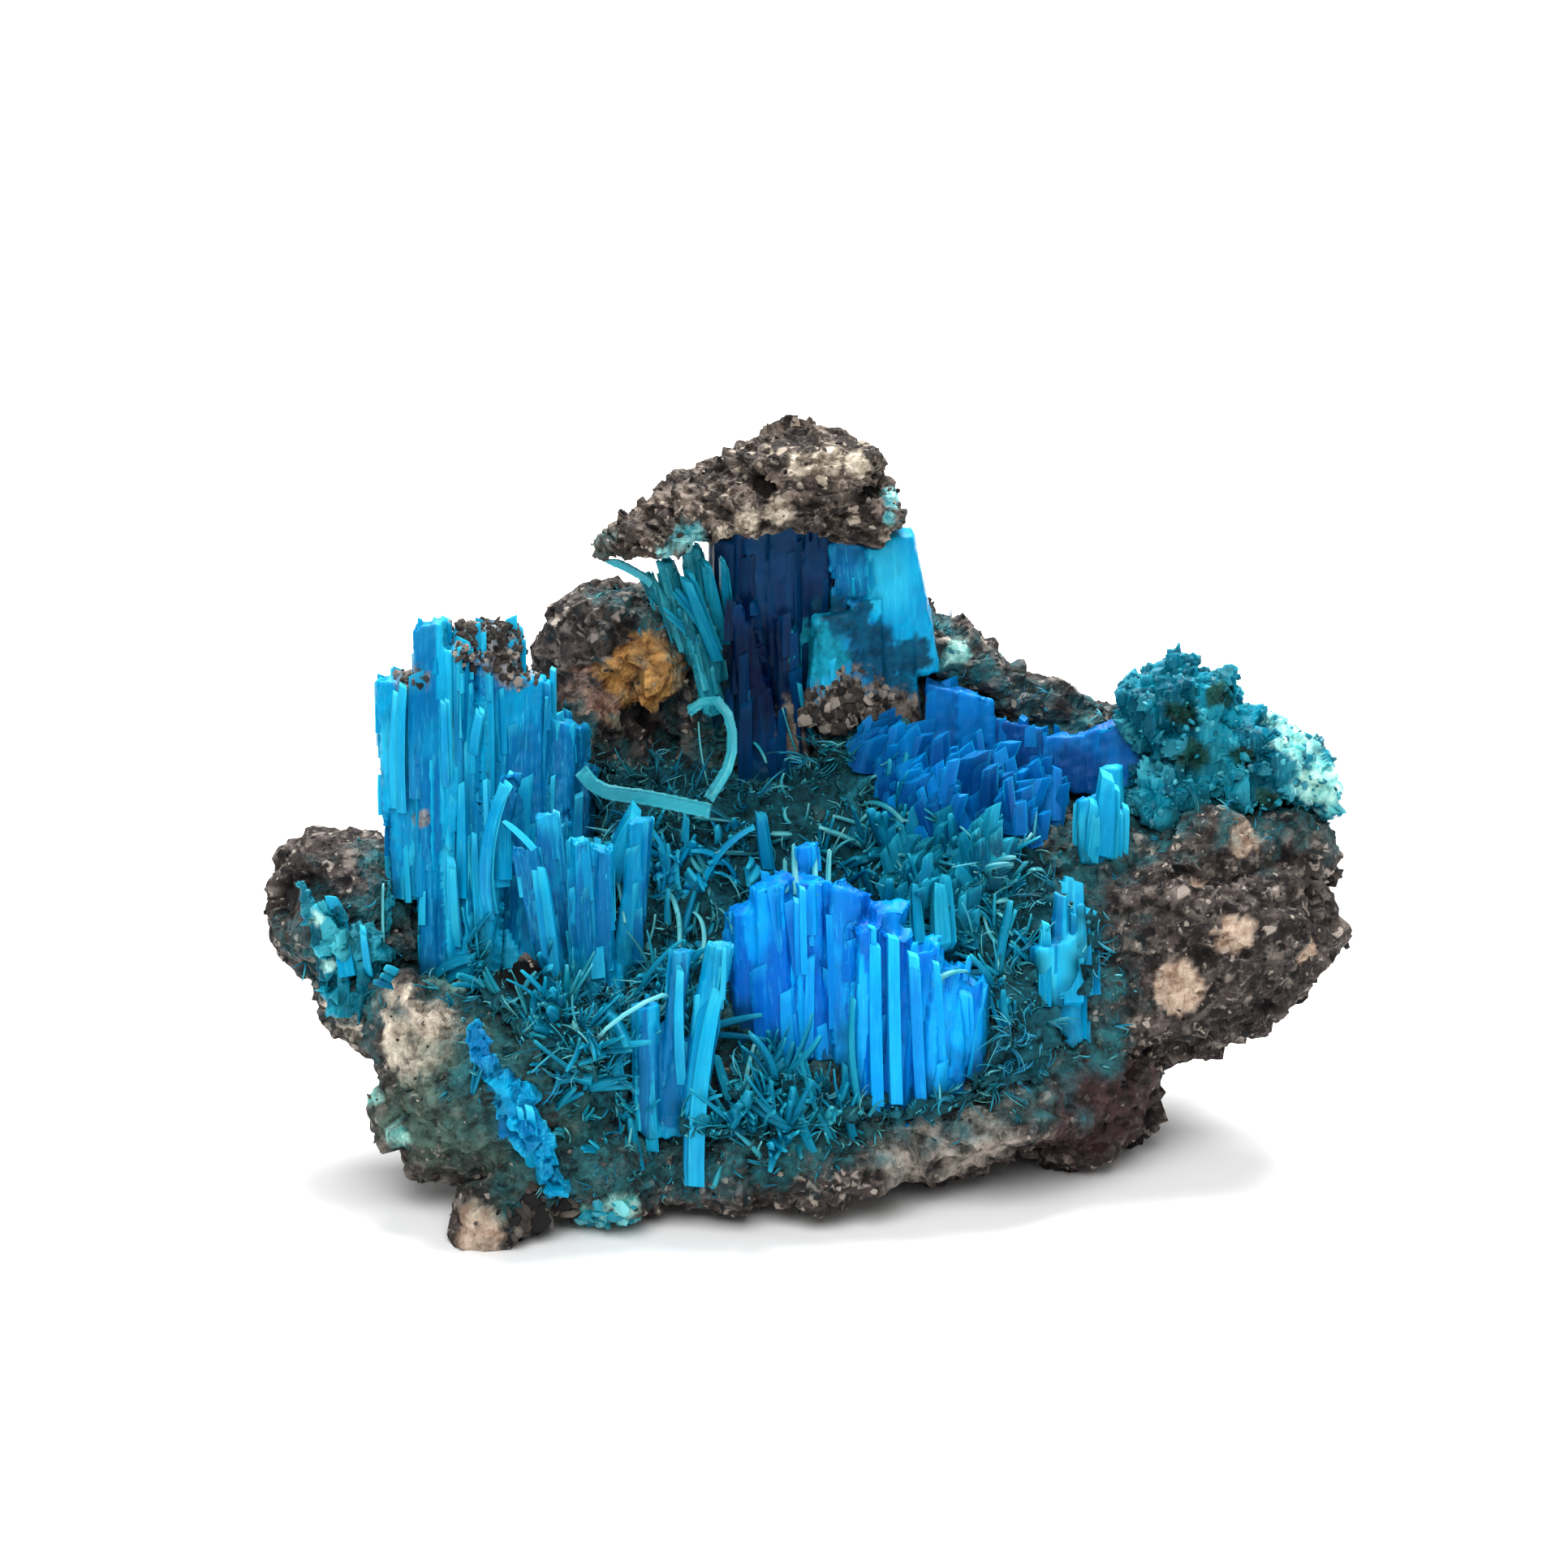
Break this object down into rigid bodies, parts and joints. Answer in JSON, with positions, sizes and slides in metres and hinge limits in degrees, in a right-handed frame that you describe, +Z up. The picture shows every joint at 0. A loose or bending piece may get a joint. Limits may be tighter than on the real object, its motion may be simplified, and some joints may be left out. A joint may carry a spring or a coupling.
{
  "type": "chalcanthite on matrix mineral specimen",
  "caption": "Natural blue copper sulphate crystals: fibrous bundles in a hollow of brown rock, one of them carrying a loose flake of the same rock.",
  "frame": {"origin": "on the table, below the middle of the specimen's footprint", "axes": "+Z up, +X along the specimen's length, -Y towards the hollow with the crystals"},
  "size_m": [0.0612, 0.0326, 0.0398],
  "materials": {
    "matrix_rock": "rough broken brown rock with pale clasts",
    "cap_rock": "rough thin-bedded brown rock",
    "azure_crystal": "satin fibrous crystal, glassy on the cleaved faces",
    "cobalt_crystal": "glassy massive crystal",
    "navy_crystal": "glassy dark crystal",
    "turquoise_crystal": "satin, partly dried crystal",
    "green_crust": "dull crust of fine curled fibres"
  },
  "bodies": {
    "root": {"matrix_rock": "matrix_rock", "cap_rock": "cap_rock", "column_crystals": "navy_crystal", "peak_crystals": "azure_crystal", "fan_crystals": "turquoise_crystal", "vein_crystals": "cobalt_crystal", "crest_crystals": "turquoise_crystal", "left_tower_crystals": "azure_crystal", "left_edge_crystals": "turquoise_crystal", "mid_left_crystals": "azure_crystal", "right_high_crystal": "azure_crystal", "right_low_crystal": "azure_crystal", "front_block_crystals": "azure_crystal", "front_left_crystals": "azure_crystal", "lobe_crystals": "azure_crystal", "long_curl": "turquoise_crystal", "hooked_curl": "turquoise_crystal", "cap_needle": "turquoise_crystal", "hollow_crust": "green_crust"}
  },
  "joints": []
}
